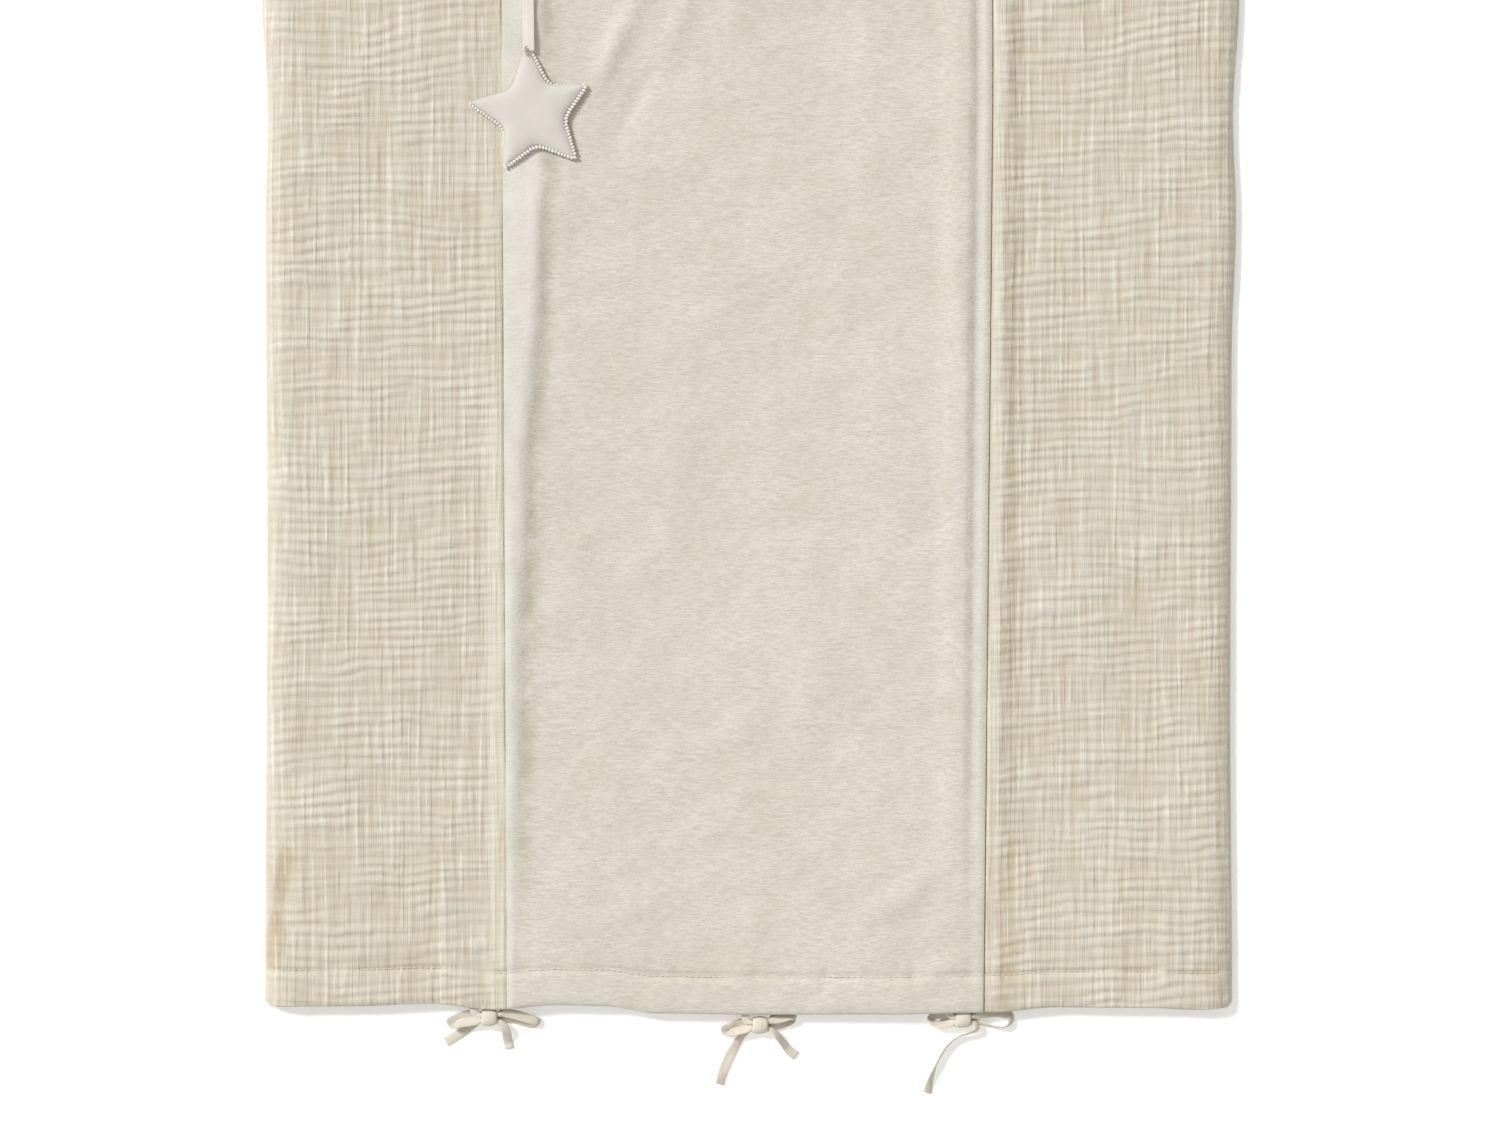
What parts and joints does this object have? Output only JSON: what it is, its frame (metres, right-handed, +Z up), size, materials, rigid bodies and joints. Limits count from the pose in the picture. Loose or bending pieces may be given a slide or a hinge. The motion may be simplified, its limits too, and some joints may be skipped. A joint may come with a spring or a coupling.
{
  "type": "changing mat cover",
  "caption": "Flat cloth sleeve for a baby changing mat: terry centre, gauze sides, open hemmed mouth tied with bows, and a padded star on a ribbon.",
  "frame": {"origin": "middle of the cover's underside, on the surface it lies on; the ties beyond the mouth are not counted", "axes": "+X across the cover to the right, +Y along it from the open mouth to the closed end with the ribbon, +Z up out of the front face"},
  "size_m": [0.5, 0.7455, 0.0175],
  "materials": {
    "gauze": "crinkled unbleached double gauze, matt",
    "terry": "short cotton terry pile, matt",
    "thread": "cotton sewing thread",
    "ribbon": "narrow woven ribbon, slight sheen",
    "star_cotton": "smooth off-white cotton",
    "filling": "soft wadding",
    "edging": "closely stitched white edge",
    "tie": "narrow folded gauze tie, matt"
  },
  "bodies": {
    "cover": {"back_panel": "gauze", "left_gauze_panel": "gauze", "right_gauze_panel": "gauze", "terry_panel": "terry", "left_seam_thread": "thread", "right_seam_thread": "thread", "front_hem_thread": "thread", "back_hem_thread": "thread", "closing_seam_thread": "thread", "ribbon_sewn_end": "ribbon", "left_bow_knot": "tie", "left_bow_front_tie": "tie", "left_bow_back_tie": "tie", "centre_bow_knot": "tie", "centre_bow_front_tie": "tie", "centre_bow_back_tie": "tie", "right_bow_knot": "tie", "right_bow_front_tie": "tie", "right_bow_back_tie": "tie"},
    "fold": {"ribbon_fold": "ribbon"},
    "ribbon": {"pendant_ribbon": "ribbon"},
    "star": {"star_front": "star_cotton", "star_back": "star_cotton", "star_filling": "filling", "star_edging": "edging", "star_tack": "thread"}
  },
  "joints": [
    {"name": "pendant_lift", "type": "hinge", "parent": "cover", "child": "fold", "pos_m": [-0.114, 0.3335, 0.01225], "axis": [-1, 0, 0], "range_deg": [0, 170]},
    {"name": "pendant_swing", "type": "hinge", "parent": "fold", "child": "ribbon", "pos_m": [-0.114, 0.32, 0.0117], "axis": [0, 0, 1], "range_deg": [-35, 35]},
    {"name": "star_swivel", "type": "hinge", "parent": "ribbon", "child": "star", "pos_m": [-0.114, 0.1504, 0.0142], "axis": [0, 0, 1], "range_deg": [-40, 40]}
  ]
}
